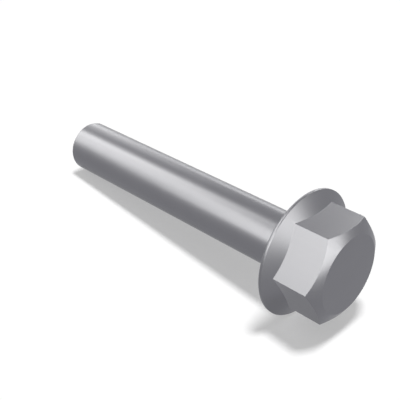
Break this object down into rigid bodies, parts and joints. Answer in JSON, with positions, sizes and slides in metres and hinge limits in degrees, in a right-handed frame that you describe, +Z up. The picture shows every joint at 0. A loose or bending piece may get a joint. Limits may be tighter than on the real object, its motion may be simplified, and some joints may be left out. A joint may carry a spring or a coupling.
{
  "type": "flange bolt",
  "caption": "Hexagon flange bolt in satin steel: a plain round shank under a washer flange that slopes up to a hexagon head with chamfered corners.",
  "frame": {"origin": "on the surface that the bolt lies on, below the middle of its bounding box", "axes": "+X along the bolt towards its head, whose axis rises 6.3 degrees from the end of the shank; +Z up; XZ is its plane of symmetry"},
  "size_m": [0.0532, 0.018, 0.0179],
  "materials": {
    "steel": "satin grey"
  },
  "bodies": {
    "root": {"flange_bolt": "steel"}
  },
  "joints": []
}
